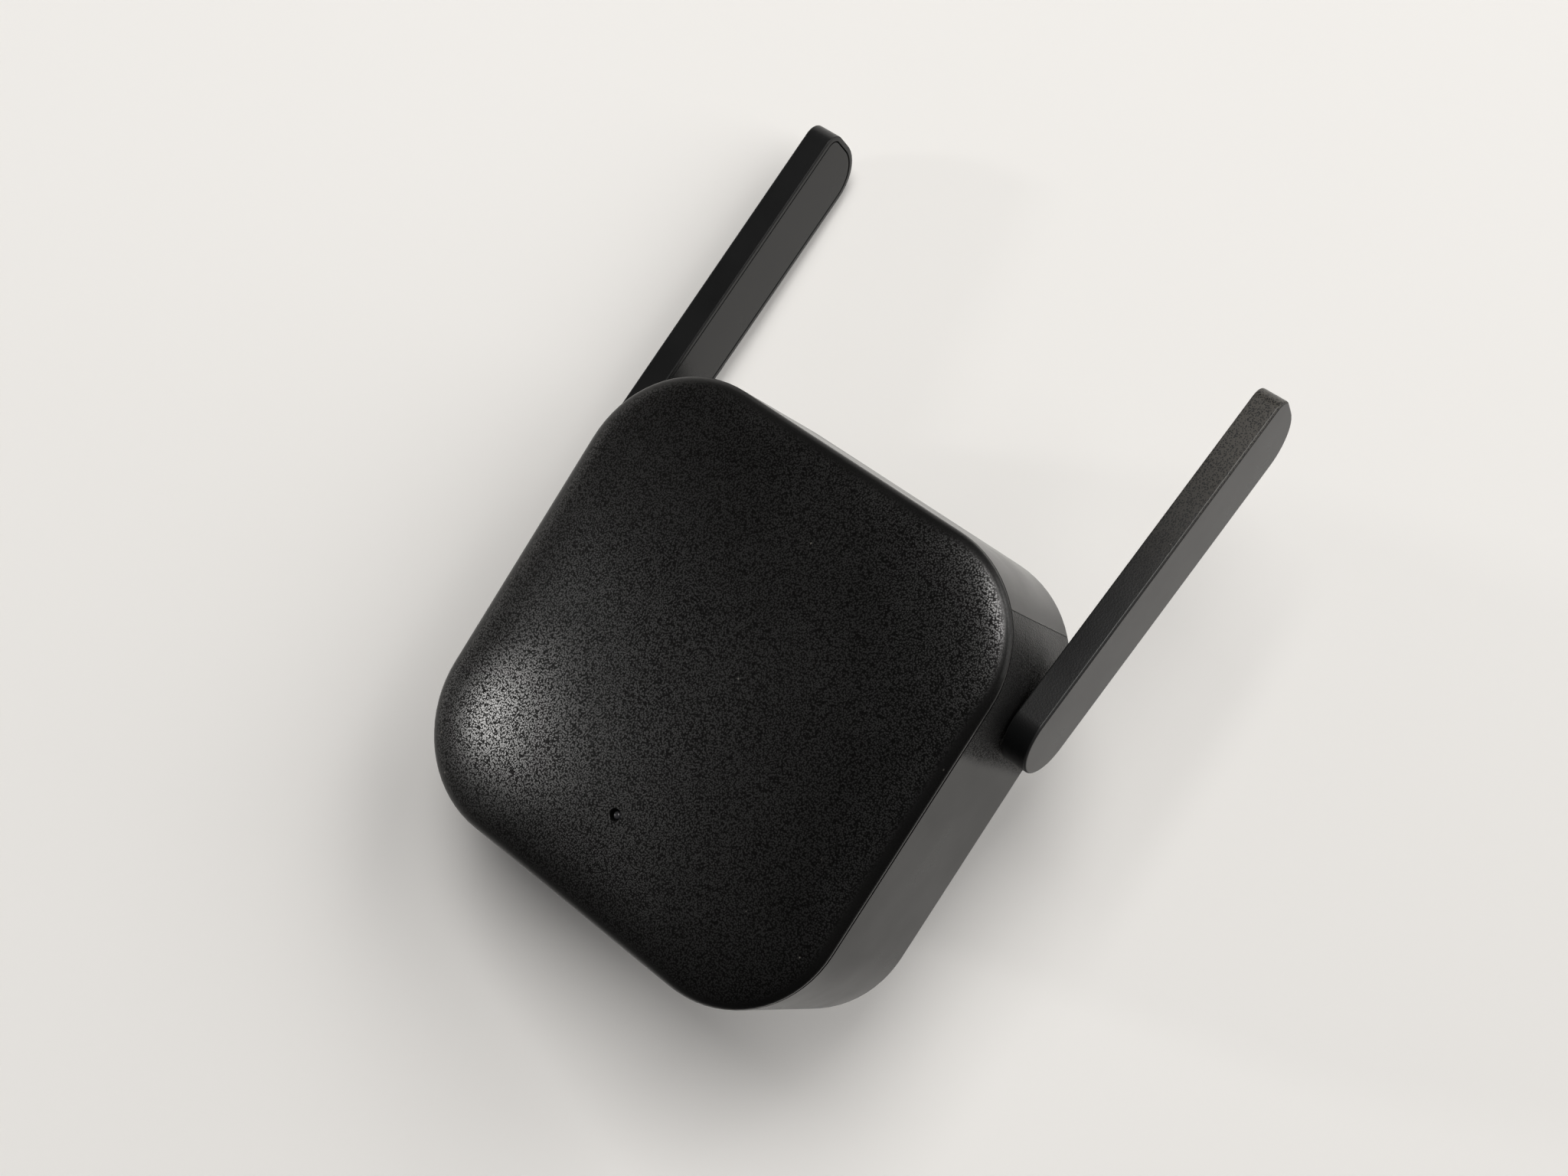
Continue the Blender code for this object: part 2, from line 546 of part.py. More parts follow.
def make_power_parts():
    """The mains supply: fuse, choke, rectifier, capacitors, transformer and its controller."""
    y = POWER_FRONT_Y
    core = add_mesh("transformer_core",
                    box((-2 * mm, 14 * mm), (y - 11.5 * mm, y), (5.5 * mm, 10.5 * mm)), "ferrite")
    window = box((mm, 11 * mm), (y - 9 * mm, y - 2.5 * mm), (4 * mm, 12 * mm))
    cut(core, add_tool("core_window", window))
    winding = box((1.3 * mm, 10.7 * mm), (y - 8.7 * mm, y - 2.8 * mm), (mm, 15 * mm))
    add_mesh("transformer_winding", winding, "winding_tape")
    for index, x in enumerate((-16.5, -7.4), start=1):
        can = turned([(-2 * mm, 3.8 * mm), (-1.5 * mm, 4.2 * mm),
                      (11.5 * mm, 4.2 * mm), (12 * mm, 3.8 * mm)], "Z", (x * mm, y - 4.5 * mm), 18)
        add_mesh(f"bulk_capacitor_{index}", can, "capacitor_sleeve")
    output = turned([(y - 10 * mm, 2.9 * mm), (y - 9.6 * mm, 3.2 * mm), (y, 3.2 * mm)],
                    "Y", (10 * mm, -20 * mm), 18)
    add_mesh("output_capacitor", output, "capacitor_sleeve")
    bridge = box((-20 * mm, -12 * mm), (y - 2.5 * mm, y), (-14 * mm, -8 * mm))
    add_mesh("bridge_rectifier", bridge, "chip_black")
    fuse = cylinder("Z", (19 * mm, y - 2.3 * mm), 2 * mm, -6 * mm, 4 * mm, 16)
    add_mesh("fuse", fuse, "washer_nylon")
    choke = turned([(y, 3.6 * mm), (y - mm, 3.6 * mm), (y - mm, 2.8 * mm), (y - 7 * mm, 2.8 * mm),
                    (y - 7 * mm, 3.6 * mm), (y - 8 * mm, 3.6 * mm)], "Y", (17 * mm, -14 * mm), 18)
    add_mesh("mains_choke", choke, "ferrite")
    disc = turned([(0, 3.4 * mm), (0.6 * mm, 4 * mm), (2.9 * mm, 4 * mm), (3.5 * mm, 3.4 * mm)],
                  "X", (y - 4.2 * mm, -14 * mm), 18)
    add_mesh("safety_capacitor", disc, "capacitor_blue")
    controller = box((-3 * mm, 2 * mm), (y - 1.5 * mm, y), (-26 * mm, -22 * mm))
    add_mesh("power_controller_chip", controller, "chip_black")


def make_main_parts():
    """What the main board carries: radio chip under its shield, memory, crystal and indicator."""
    y = MAIN_FRONT_Y
    shield = add_mesh("rf_shield", box((-4 * mm, 20 * mm), (y - 2.2 * mm, y), (-4 * mm, 16 * mm)),
                      "shield_metal")
    hollow = box((-3.7 * mm, 19.7 * mm), (y - 1.9 * mm, y + mm), (-3.7 * mm, 15.7 * mm))
    cut(shield, add_tool("shield_hollow", hollow))
    chips = (("wifi_chip", 3, 13, 1, 11, 0.9), ("memory_chip", -20, -12, 3, 9, 0.9),
             ("crystal", -17.6, -14.4, -5.2, -2.8, 0.8))
    for name, x0, x1, z0, z1, tall in chips:
        chip = box((x0 * mm, x1 * mm), (y - tall * mm, y), (z0 * mm, z1 * mm))
        add_mesh(name, chip, "shield_metal" if name == "crystal" else "chip_black")
    led = box((-0.8 * mm, 0.8 * mm), (y - 0.8 * mm, y), (LED_Z - 0.5 * mm, LED_Z + 0.5 * mm))
    add_mesh("status_led", led, "led_body")

    pipe_start = y - 0.8 * mm - CLEARANCE
    shoulder = COVER_RIM_Y - 1.1 * mm
    tip = dome_y(-LED_Z) + 0.5 * mm
    pipe = turned([(pipe_start, 1.6 * mm), (shoulder, 1.6 * mm), (shoulder, 0.6 * mm),
                   (tip + 0.15 * mm, 0.6 * mm), (tip, 0.4 * mm)], "Y", (0, LED_Z), 18)
    add_mesh("led_light_pipe", pipe, "clear_plastic")


def make_reset():
    """The reset switch behind its pinhole, and the plunger that a pin pushes up into it."""
    switch = add_mesh("reset_switch",
                      box((RESET_X - 2.5 * mm, RESET_X + 2.5 * mm),
                          (MAIN_BACK_Y, MAIN_BACK_Y + 3.1 * mm), (-29 * mm, -25 * mm)),
                      "chip_black")
    socket = cylinder("Z", (RESET_X, RESET_Y), mm, -30 * mm, -26 * mm, 14)
    cut(switch, add_tool("reset_socket", socket))
    plunger = turned([(-3.7 * mm, 0.5 * mm), (-3.5 * mm, 0.7 * mm), (0, 0.7 * mm)], "Z", (0, 0), 14)
    button = add_mesh("reset_button", plunger, "washer_nylon")
    button.location = (RESET_X, RESET_Y, -26.8 * mm)


clear_scene()
make_front_cover()
make_rear_housing()
for antenna_side, antenna_sign in (("left", -1), ("right", 1)):
    make_antenna(antenna_side, antenna_sign)
    make_antenna_lead(antenna_side, antenna_sign)
make_plug()
make_boards()
make_power_parts()
make_main_parts()
make_reset()
bpy.context.view_layer.update()
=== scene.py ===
"""The looks of the plug-in wifi range extender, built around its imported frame.

Every piece is in the frame's metres: the cover faces -Y, +Z is up and the plug points along +Y.
The extender lies on a pale table, propped on its plug, its rear edge and one antenna.
"""
import json
import math

import bmesh
import bpy
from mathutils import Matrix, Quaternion, Vector


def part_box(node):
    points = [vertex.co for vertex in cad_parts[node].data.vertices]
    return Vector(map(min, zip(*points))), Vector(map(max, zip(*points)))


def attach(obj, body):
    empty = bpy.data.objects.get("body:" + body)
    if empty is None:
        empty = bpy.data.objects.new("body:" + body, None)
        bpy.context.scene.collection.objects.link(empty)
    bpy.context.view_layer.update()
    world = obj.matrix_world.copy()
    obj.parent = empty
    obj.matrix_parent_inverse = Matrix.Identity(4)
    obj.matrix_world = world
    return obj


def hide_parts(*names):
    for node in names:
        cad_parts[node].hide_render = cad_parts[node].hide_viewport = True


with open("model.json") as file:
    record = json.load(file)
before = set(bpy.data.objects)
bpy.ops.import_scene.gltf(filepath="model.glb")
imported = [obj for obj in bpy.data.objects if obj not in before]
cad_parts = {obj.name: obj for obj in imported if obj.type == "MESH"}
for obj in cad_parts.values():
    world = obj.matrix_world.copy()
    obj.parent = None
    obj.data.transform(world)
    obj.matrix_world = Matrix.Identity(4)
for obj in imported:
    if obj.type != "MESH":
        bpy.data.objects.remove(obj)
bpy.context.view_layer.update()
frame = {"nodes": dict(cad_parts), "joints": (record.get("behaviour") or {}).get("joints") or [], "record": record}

mm = 0.001

# Sizes read from the frame
COVER_LOW, COVER_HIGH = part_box("front_cover")
HOUSING_LOW, HOUSING_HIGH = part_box("rear_housing")
HALF = COVER_HIGH.x
LIP_BACK_Y = COVER_HIGH.y
CROWN_Y = COVER_LOW.y
HOUSING_RIM_Y = HOUSING_LOW.y
JOINTS = {joint["name"]: Vector(joint["pos_m"]) for joint in frame["joints"] if "pos_m" in joint}
HINGE = {side: JOINTS[f"antenna_{side}_swivel"] for side in ("left", "right")}

# Sizes of the moulded parts
CORNER_RADIUS = 17.6 * mm
WALL = 2.0 * mm
CLEARANCE = 0.3 * mm
SHARP_ANGLE = 30
REAR_DRAFT = 0.3 * mm
REAR_EDGE_RADIUS = 0.8 * mm
BOSS_HEIGHT = 1.5 * mm
BOSS_HALF_WIDTH = 16 * mm
BOSS_HALF_HEIGHT = 10 * mm
BOSS_CORNER_RADIUS = 3 * mm
BOSS_EDGE_RADIUS = 0.4 * mm
RIM_BEVEL = 0.12 * mm
LIP_DEPTH = 3.0 * mm
LIP_WALL = 1.2 * mm
HOOK_REACH = 0.9 * mm
HOOK_ROOT = 0.4 * mm
HOOK_LENGTH = 8 * mm
HOOK_BEHIND_RIM = (1.2 * mm, 2.6 * mm)
POCKET_REACH = 1.4 * mm
POCKET_LENGTH = 9 * mm
POCKET_BEHIND_RIM = (0.9 * mm, 2.9 * mm)
DOME_POWER = 2.4
MOULD_LINE_Z = 32.4 * mm
MOULD_LINE_WIDTH = 0.16 * mm
MOULD_LINE_DEPTH = 0.10 * mm
SPECKLE_LOW_Z = 14.0 * mm
LED_Z = -22.4 * mm
LED_HOLE_RADIUS = 0.9 * mm
LED_HOLE_FLARE = 0.12 * mm
BLADE_PITCH = 12.7 * mm
BLADE_HEIGHT = 6.35 * mm
BLADE_THICKNESS = 1.5 * mm
BLADE_CHAMFER = 1.6 * mm
BLADE_HOLE_RADIUS = 1.6 * mm
BLADE_HOLE_FROM_TIP = 5.6 * mm
BLADE_EDGE_RADIUS = 0.2 * mm
BLADE_SLOT_FLARE = 0.2 * mm
VENT_COUNT = 6
VENT_FIRST_X = -15.7 * mm
VENT_SPACING = 4.5 * mm
VENT_Y = -14 * mm
VENT_HALF = (0.8 * mm, 6 * mm)
MOUTH_FLARE = 0.25 * mm
RESET_PLACE = (14.0 * mm, -22.2 * mm)
RESET_HOLE_RADIUS = 1.0 * mm
POST_PLACE = (27.0 * mm, 27.0 * mm)
POST_RADIUS = 3.0 * mm
POST_FRONT_Y = -23.7 * mm
STANDOFF_PLACE = (19.0 * mm, 25.0 * mm)
STANDOFF_RADIUS = 2.5 * mm
STANDOFF_FRONT_Y = -8.7 * mm
SCREW_HOLE_RADIUS = 1.3 * mm
SCREW_HOLE_END_Y = -4.0 * mm
BEARING_RADIUS = 7.0 * mm
BEARING_DEPTH = 2.1 * mm
BEARING_ROOT = 0.25 * mm

ANTENNA_WIDTH = 12.0 * mm
ANTENNA_THICKNESS = 4.3 * mm
ANTENNA_LENGTH = 63.0 * mm
FRONT_TIP_RADIUS = 2.4 * mm
REAR_TIP_RADIUS = 6.5 * mm
LEAST_TIP_RADIUS = 0.4 * mm
ANTENNA_OUTER_EDGE = 0.38 * mm
ANTENNA_INNER_EDGE = 0.25 * mm
ANTENNA_RIM = 0.8 * mm
ANTENNA_RIM_CHAMFER = 0.08 * mm
ANTENNA_LEDGE = 0.7 * mm
ANTENNA_SKIN = 1.2 * mm
LID_THICKNESS = 1.0 * mm
LID_SEAM = 0.16 * mm
LID_EDGE_RADIUS = 0.1 * mm
PIVOT_RADIUS = 3.5 * mm
LEAN_BACK = {"left": 5.2, "right": 11.7}     # degrees

LENS_RADIUS = 1.6 * mm
LENS_TIP_RADIUS = 0.6 * mm
LENS_DOME_RADIUS = 0.4 * mm
LENS_CHAMFER = 0.1 * mm
LENS_SHOULDER_DEPTH = 1.1 * mm

PLATE_HALF_WIDTH = 14 * mm
PLATE_HALF_HEIGHT = 6.5 * mm
PLATE_CORNER_RADIUS = 1.2 * mm
PLATE_Z = -22 * mm

COVER_RIM_Y = LIP_BACK_Y - LIP_DEPTH
DOME_HEIGHT = COVER_RIM_Y - CROWN_Y
REAR_Y = -BOSS_HEIGHT
INNER_REAR_Y = REAR_Y - WALL
SIDES = {"left": -1, "right": 1}
HINGE_Y = HINGE["right"].y
HINGE_Z = HINGE["right"].z
CORNERS = ((-1, -1), (1, -1), (1, 1), (-1, 1))
CORNER_STEPS = 18
SIDE_STEPS = 8


# Meshes

def add_mesh(name, bm, material, body=None, sharp=SHARP_ANGLE):
    """Turn a bmesh into a smooth-shaded piece that rides on a body."""
    bmesh.ops.recalc_face_normals(bm, faces=bm.faces)
    mesh = bpy.data.meshes.new(name)
    bm.to_mesh(mesh)
    bm.free()
    mesh.materials.append(material)
    mesh.shade_smooth()
    mesh.set_sharp_from_angle(angle=math.radians(sharp))
    piece = bpy.data.objects.new(name, mesh)
    bpy.context.scene.collection.objects.link(piece)
    if body:
        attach(piece, body)
    return piece


def boolean(target, bm, operation):
    """Cut a shape from a piece, or add it, and keep only the result."""
    tool = add_mesh("tool", bm, target.data.materials[0])
    step = target.modifiers.new("tool", "BOOLEAN")
    step.operation = operation
    step.solver = "EXACT"
    step.object = tool
    depsgraph = bpy.context.evaluated_depsgraph_get()
    result = bpy.data.meshes.new_from_object(target.evaluated_get(depsgraph), depsgraph=depsgraph)
    target.modifiers.clear()
    old = target.data
    target.data = result
    result.set_sharp_from_angle(angle=math.radians(SHARP_ANGLE))
    bpy.data.meshes.remove(old)
    bpy.data.objects.remove(tool, do_unlink=True)


def loft(rings, closed=False):
    """Skin equal rings of points. A closed loft joins its last ring to its first."""
    bm = bmesh.new()
    loops = [[bm.verts.new(point) for point in ring] for ring in rings]
    pairs = list(zip(loops, loops[1:]))
    if closed:
        pairs.append((loops[-1], loops[0]))
    count = len(rings[0])
    for near, far in pairs:
        for i in range(count):
            j = (i + 1) % count
            bm.faces.new((near[i], near[j], far[j], far[i]))
    if not closed:
        bm.faces.new(loops[0])
        bm.faces.new(loops[-1])
    return bm


def on_axis(axis, along, first, second):
    """A point from its place along an axis and its other two coordinates, in X, Y, Z order."""
    if axis == "X":
        return Vector((along, first, second))
    if axis == "Y":
        return Vector((first, along, second))
    return Vector((first, second, along))


def prism(outline, axis, low, high):
    return loft([[on_axis(axis, along, a, b) for a, b in outline] for along in (low, high)])


def box(x, y, z):
    outline = [(x[0], z[0]), (x[1], z[0]), (x[1], z[1]), (x[0], z[1])]
    return prism(outline, "Y", *y)


def arc(centre_a, centre_b, radius, start, end, steps):
    """Points on a circular arc, from one angle to the other in degrees."""
    points = []
    for i in range(steps + 1):
        angle = math.radians(start + (end - start) * i / steps)
        points.append((centre_a + radius * math.cos(angle), centre_b + radius * math.sin(angle)))
    return points


def rounded_rectangle(half_a, half_b, radius, steps=8, side_steps=1):
    """A rectangle about zero with round corners and evenly divided sides."""
    points = []
    for start, (side_a, side_b) in zip((180, 270, 0, 90), CORNERS):
        centre_a = side_a * (half_a - radius)
        centre_b = side_b * (half_b - radius)
        corner = arc(centre_a, centre_b, radius, start, start + 90, steps)
        if points:
            points += between(points[-1], corner[0], side_steps)
        points += corner
    return points + between(points[-1], points[0], side_steps)


def between(start, end, steps):
    """The points that divide a straight side, without its ends."""
    return [(start[0] + (end[0] - start[0]) * i / steps, start[1] + (end[1] - start[1]) * i / steps)
            for i in range(1, steps)]


def turned(profile, axis, centre, segments=32, hollow=False):
    """Turn a profile of (place along the axis, radius) pairs about an axis through centre."""
    rings = []
    for along, radius in profile:
        circle = arc(centre[0], centre[1], radius, 0, 360, segments)[:-1]
        rings.append([on_axis(axis, along, a, b) for a, b in circle])
    return loft(rings, closed=hollow)


def cylinder(axis, centre, radius, low, high, segments=32):
    return turned([(low, radius), (high, radius)], axis, centre, segments)


def body_ring(inset, y, scale=1.0):
    """The body's outline at a depth. Towards the middle of the dome it grows rounder."""
    half = (HALF - inset) * scale
    radius = CORNER_RADIUS - inset
    radius = scale * (radius + (HALF - inset - radius) * (1 - scale ** 2))
    outline = rounded_rectangle(half, half, min(radius, half * 0.97), CORNER_STEPS, SIDE_STEPS)
    return [on_axis("Y", y, x, z) for x, z in outline]


def housing_ring(inset, y, groove=0.0):
    """The housing's outline, with the mould line's fine groove across its two upper corners."""
    centre = HALF - CORNER_RADIUS
    radius = CORNER_RADIUS - inset
    line = math.degrees(math.asin((MOULD_LINE_Z - centre) / CORNER_RADIUS))
    half_line = math.degrees(MOULD_LINE_WIDTH / 2 / CORNER_RADIUS)
    outline = []
    middles = (225, 315, line, 180 - line)
    for start, middle, (side_x, side_z) in zip((180, 270, 0, 90), middles, CORNERS):
        place = (side_x * centre, side_z * centre)
        depth = groove if side_z > 0 else 0
        corner = arc(*place, radius, start, middle - half_line, CORNER_STEPS // 2)
        corner += arc(*place, radius - depth, middle, start + 90, 1)[:1]
        corner += arc(*place, radius, middle + half_line, start + 90, CORNER_STEPS // 2)
        if outline:
            outline += between(outline[-1], corner[0], SIDE_STEPS)
        outline += corner
    outline += between(outline[-1], outline[0], SIDE_STEPS)
    return [on_axis("Y", y, x, z) for x, z in outline]


def dome_profile(steps):
    """Pairs of scale and height share, from the rim to near the middle of the dome."""
    pairs = []
    for i in range(steps):
        angle = math.radians(89) * i / (steps - 1)
        pairs.append((math.cos(angle) ** (2 / DOME_POWER), math.sin(angle) ** (2 / DOME_POWER)))
    return pairs


def dome_y(distance):
    """Where the dome's outer face lies, at a distance from the middle along a straight side."""
    return COVER_RIM_Y - DOME_HEIGHT * (1 - (distance / HALF) ** DOME_POWER) ** (1 / DOME_POWER)


def rounded_edge(radius, steps):
    """Pairs of inset and drop that round an outer edge, from its flat face down to its side."""
    pairs = []
    for i in range(steps + 1):
        angle = math.radians(90 * i / steps)
        pairs.append((radius * (1 - math.sin(angle)), radius * (1 - math.cos(angle))))
    return pairs


def merged(parts):
    """Several closed shapes that don't touch, as one bmesh."""
    whole = bmesh.new()
    for part in parts:
        mesh = bpy.data.meshes.new("part")
        bmesh.ops.recalc_face_normals(part, faces=part.faces)
        part.to_mesh(mesh)
        part.free()
        whole.from_mesh(mesh)
        bpy.data.meshes.remove(mesh)
    return whole


def flared_slot(axis, place, half, surface, end, flare):
    """A slot cutter whose mouth opens a little at the surface it is cut into."""
    inward = math.copysign(1, end - surface)
    rings = []
    for along, grow in ((surface - inward * mm, flare), (surface, flare),
                        (surface + inward * flare, 0), (end, 0)):
        outline = rounded_rectangle(half[0] + grow, half[1] + grow, min(half) * 0.6 + grow, 4)
        rings.append([on_axis(axis, along, place[0] + a, place[1] + b) for a, b in outline])
    return loft(rings)


def flared_hole(axis, centre, radius, surface, end, flare):
    """A round hole's cutter whose mouth opens a little at the surface it is cut into."""
    inward = math.copysign(1, end - surface)
    return turned([(surface - inward * mm, radius + flare), (surface, radius + flare),
                   (surface + inward * flare, radius), (end, radius)], axis, centre)


def even_normals(piece):
    """Keep the large flat faces flat where they meet rounded edges."""
    step = piece.modifiers.new("even_normals", "WEIGHTED_NORMAL")
    step.mode = "FACE_AREA"
    step.weight = 80
    step.keep_sharp = True


def hook_boxes(reach, length, behind_rim):
    """Four boxes around the cover's lip, one at the middle of each side."""
    low = HALF - WALL - CLEARANCE - HOOK_ROOT
    high = low + HOOK_ROOT + reach
    y = [COVER_RIM_Y + distance for distance in behind_rim]
    spans = [(-length / 2, length / 2), (-high, -low), (low, high)]
    return [box(spans[ix], y, spans[iz]) for ix, iz in ((1, 0), (2, 0), (0, 1), (0, 2))]


# Pieces

def make_cover(material):
    """The pillow-shaped cover with its lip, snap hooks and indicator hole."""
    lip_outer = WALL + CLEARANCE
    lip_inner = lip_outer + LIP_WALL
    inner_height = DOME_HEIGHT - WALL
    rings = [body_ring(0, COVER_RIM_Y - RIM_BEVEL - (DOME_HEIGHT - RIM_BEVEL) * rise, scale)
             for scale, rise in reversed(dome_profile(56))]
    rings += [body_ring(inset, COVER_RIM_Y - drop)
              for inset, drop in reversed(rounded_edge(RIM_BEVEL, 3))][1:]
    rings.append(body_ring(lip_outer, COVER_RIM_Y))
    rings.append(body_ring(lip_outer, COVER_RIM_Y + LIP_DEPTH))
    rings.append(body_ring(lip_inner, COVER_RIM_Y + LIP_DEPTH))
    rings += [body_ring(lip_inner, COVER_RIM_Y - inner_height * rise, scale)
              for scale, rise in dome_profile(14)]
    cover = add_mesh("cover_shell", loft(rings), material, "case")
    boolean(cover, merged(hook_boxes(HOOK_REACH, HOOK_LENGTH, HOOK_BEHIND_RIM)), "UNION")
    boolean(cover, flared_hole("Y", (0, LED_Z), LED_HOLE_RADIUS, dome_y(-LED_Z), HOUSING_RIM_Y,
                               LED_HOLE_FLARE), "DIFFERENCE")
    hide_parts("front_cover")


def boss_solid():
    """The plug boss, with a rounded edge around its face."""
    steps = [(0, REAR_Y - WALL / 2)]
    steps += [(inset, -drop) for inset, drop in reversed(rounded_edge(BOSS_EDGE_RADIUS, 4))]
    rings = []
    for inset, y in steps:
        outline = rounded_rectangle(BOSS_HALF_WIDTH - inset, BOSS_HALF_HEIGHT - inset,
                                    BOSS_CORNER_RADIUS - inset)
        rings.append([on_axis("Y", y, x, z) for x, z in outline])
    return loft(rings)


def posts_and_holes():
    """The four posts and four standoffs that carry the boards, and their screw holes."""
    posts = []
    holes = []
    for side_x, side_z in CORNERS:
        for place, radius, front in ((POST_PLACE, POST_RADIUS, POST_FRONT_Y),
                                     (STANDOFF_PLACE, STANDOFF_RADIUS, STANDOFF_FRONT_Y)):
            centre = (side_x * place[0], side_z * place[1])
            posts.append(cylinder("Y", centre, radius, front, INNER_REAR_Y + WALL / 2))
            holes.append(cylinder("Y", centre, SCREW_HOLE_RADIUS, front - mm, SCREW_HOLE_END_Y, 16))
    return posts, holes


def bearings_and_bores():
    """The antennas' bearings inside the side walls, and their bores through the walls."""
    centre = (HINGE_Y, HINGE_Z)
    inner = HALF - WALL - BEARING_DEPTH
    bearings = []
    bores = []
    for sign in SIDES.values():
        bearings.append(cylinder("X", centre, BEARING_RADIUS, sign * inner,
                                 sign * (HALF - WALL + BEARING_ROOT)))
        bores.append(cylinder("X", centre, PIVOT_RADIUS + CLEARANCE, sign * (inner - mm),
                              sign * (HALF + mm)))
    return bearings, bores


def wall_openings():
    """Cutters for the blade slots, the vents and the reset hole."""
    blade = (BLADE_THICKNESS / 2 + CLEARANCE, BLADE_HEIGHT / 2 + CLEARANCE)
    cutters = [flared_slot("Y", (sign * BLADE_PITCH / 2, 0), blade, 0, INNER_REAR_Y - mm,
                           BLADE_SLOT_FLARE) for sign in SIDES.values()]
    wall_end = -HALF + WALL + mm
    for index in range(VENT_COUNT):
        place = (VENT_FIRST_X + VENT_SPACING * index, VENT_Y)
        cutters.append(flared_slot("Z", place, VENT_HALF, -HALF, wall_end, MOUTH_FLARE))
    cutters.append(flared_hole("Z", RESET_PLACE, RESET_HOLE_RADIUS, -HALF, wall_end, MOUTH_FLARE))
    return cutters


def make_housing(material):
    """The deep square cup with its plug boss, posts, bearings, vents and fine mould line."""
    rings = [housing_ring(REAR_DRAFT + inset, REAR_Y - drop, MOULD_LINE_DEPTH)
             for inset, drop in rounded_edge(REAR_EDGE_RADIUS, 8)]
    rings += [housing_ring(inset, HOUSING_RIM_Y + drop, MOULD_LINE_DEPTH)
              for inset, drop in reversed(rounded_edge(RIM_BEVEL, 3))]
    rings.append(housing_ring(WALL, HOUSING_RIM_Y))
    rings.append(housing_ring(WALL + REAR_DRAFT, INNER_REAR_Y))
    housing = add_mesh("housing_shell", loft(rings), material, "case")
    posts, screw_holes = posts_and_holes()
    bearings, bores = bearings_and_bores()
    pockets = hook_boxes(POCKET_REACH, POCKET_LENGTH, POCKET_BEHIND_RIM)
    boolean(housing, merged([boss_solid()] + posts + bearings), "UNION")
    boolean(housing, merged(screw_holes + bores + wall_openings() + pockets), "DIFFERENCE")
    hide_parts("rear_housing")
    even_normals(housing)


def antenna_outline(inset):
    """The antenna's side view about its hinge, its rear tip corner rounder than its front one."""
    half = ANTENNA_WIDTH / 2 - inset
    top = ANTENNA_LENGTH - ANTENNA_WIDTH / 2 - inset
    front = max(FRONT_TIP_RADIUS - inset, LEAST_TIP_RADIUS)
    rear = max(REAR_TIP_RADIUS - inset, LEAST_TIP_RADIUS)
    points = arc(0, 0, half, 180, 360, 36)
    points += between(points[-1], (half, top - rear), 12)
    points += arc(half - rear, top - rear, rear, 0, 90, 12)
    points += arc(front - half, top - front, front, 90, 180, 10)
    return points + between(points[-1], points[0], 12)


def antenna_piece(name, side, steps, material):
    """A loft of the antenna's outline at pairs of inset and distance out from its inner face."""
    rings = [[on_axis("X", SIDES[side] * out, y, z) for y, z in antenna_outline(inset)]
             for inset, out in steps]
    piece = add_mesh(name, loft(rings), material)
    piece.location = HINGE[side]
    piece.rotation_euler = (math.radians(-LEAN_BACK[side]), 0, 0)
    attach(piece, f"antenna_{side}")
    even_normals(piece)
    return piece


def make_antenna(side, material):
    """The shell and the lid that lies flush in its inner face, with a fine seam around it."""
    ledge = ANTENNA_RIM + ANTENNA_LEDGE
    ledge_out = LID_THICKNESS + CLEARANCE
    steps = [(inset, ANTENNA_THICKNESS - drop)
             for inset, drop in rounded_edge(ANTENNA_OUTER_EDGE, 4)]
    steps += [(inset, drop) for inset, drop in reversed(rounded_edge(ANTENNA_INNER_EDGE, 3))]
    steps += [(ANTENNA_RIM - ANTENNA_RIM_CHAMFER, 0), (ANTENNA_RIM, ANTENNA_RIM_CHAMFER),
              (ANTENNA_RIM, ledge_out), (ledge, ledge_out),
              (ledge, ANTENNA_THICKNESS - ANTENNA_SKIN)]
    shell = antenna_piece(f"antenna_{side}_body", side, steps, material)
    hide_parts(f"antenna_{side}_shell")

    lid_rim = ANTENNA_RIM + LID_SEAM
    steps = [(lid_rim + inset, drop) for inset, drop in rounded_edge(LID_EDGE_RADIUS, 2)]
    steps.append((lid_rim, LID_THICKNESS))
    lid = antenna_piece(f"antenna_{side}_cover", side, steps, material)
    reach = LID_THICKNESS + mm
    boolean(lid, cylinder("X", (0, 0), PIVOT_RADIUS + CLEARANCE, -reach, reach), "DIFFERENCE")
    even_normals(lid)
    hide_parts(f"antenna_{side}_lid")


def make_blade(side, material):
    """One flat blade with chamfered tip, round hole and rubbed edges."""
    low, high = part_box(f"plug_blade_{side}")
    tip = BLADE_CHAMFER
    outline = [(low.y, low.z), (high.y - tip, low.z), (high.y, low.z + tip),
               (high.y, high.z - tip), (high.y - tip, high.z), (low.y, high.z)]
    middle = SIDES[side] * BLADE_PITCH / 2
    bm = prism(outline, "X", middle - BLADE_THICKNESS / 2, middle + BLADE_THICKNESS / 2)
    blade = add_mesh(f"blade_{side}", bm, material, "case")
    reach = 2 * mm
    hole = cylinder("X", (high.y - BLADE_HOLE_FROM_TIP, 0), BLADE_HOLE_RADIUS,
                    middle - reach, middle + reach)
    boolean(blade, hole, "DIFFERENCE")
    bevel = blade.modifiers.new("edges", "BEVEL")
    bevel.width = BLADE_EDGE_RADIUS
    bevel.segments = 3
    bevel.limit_method = "ANGLE"
    bevel.angle_limit = math.radians(40)
    even_normals(blade)
    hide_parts(f"plug_blade_{side}")


